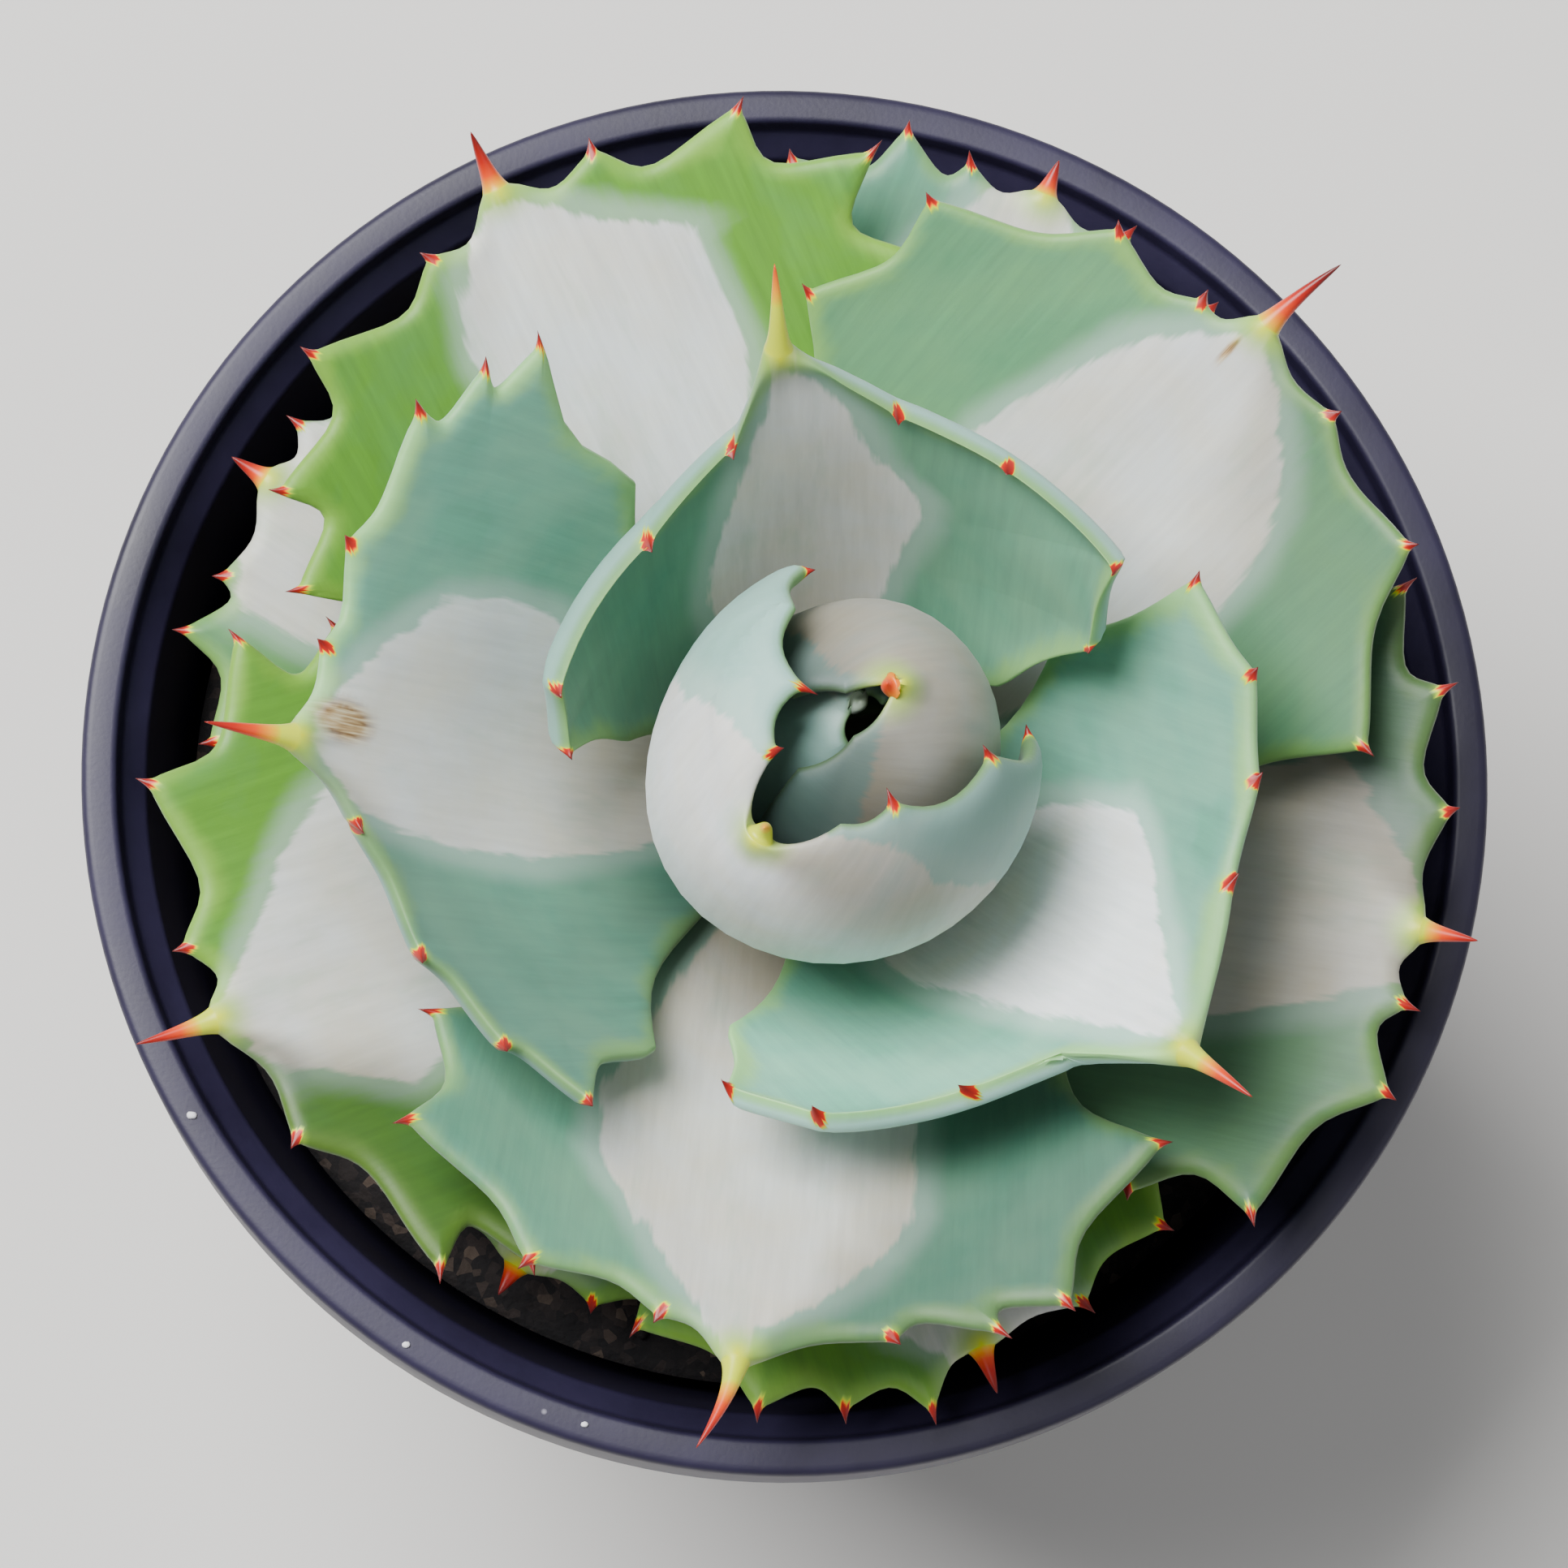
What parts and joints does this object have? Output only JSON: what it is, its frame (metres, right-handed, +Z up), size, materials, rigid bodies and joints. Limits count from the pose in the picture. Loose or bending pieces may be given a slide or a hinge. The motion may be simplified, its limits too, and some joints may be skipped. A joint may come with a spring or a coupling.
{
  "type": "potted agave",
  "caption": "Small variegated agave: a rosette of broad toothed leaves with terminal spines, growing on a short stem with roots in soil in a round nursery pot.",
  "frame": {"origin": "centre of the pot's underside, on the surface that it stands on", "axes": "+Z up through the pot's axis, +Y towards the side of the pot where the fourth leaf points, +X to its right"},
  "size_m": [0.105, 0.105, 0.1234],
  "materials": {
    "pot_plastic": "injection-moulded black nursery pot, semi-matt with fine scuffs",
    "potting_mix": "dark crumbly potting mix with grit",
    "stem_bark": "pale fibrous stem",
    "root_skin": "pale matt root skin",
    "leaf_inner": null,
    "leaf_outer": null
  },
  "bodies": {
    "root": {"pot": "pot_plastic", "soil": "potting_mix", "stem": "stem_bark", "roots": "root_skin", "leaf_01": "leaf_inner", "leaf_02": "leaf_inner", "leaf_03": "leaf_inner", "leaf_04": "leaf_inner", "leaf_05": "leaf_inner", "leaf_06": "leaf_inner", "leaf_07": "leaf_outer", "leaf_08": "leaf_outer", "leaf_09": "leaf_outer", "leaf_10": "leaf_outer", "leaf_11": "leaf_outer", "leaf_12": "leaf_outer", "leaf_13": "leaf_outer", "leaf_14": "leaf_outer", "leaf_15": "leaf_outer", "leaf_16": "leaf_outer"}
  },
  "joints": []
}
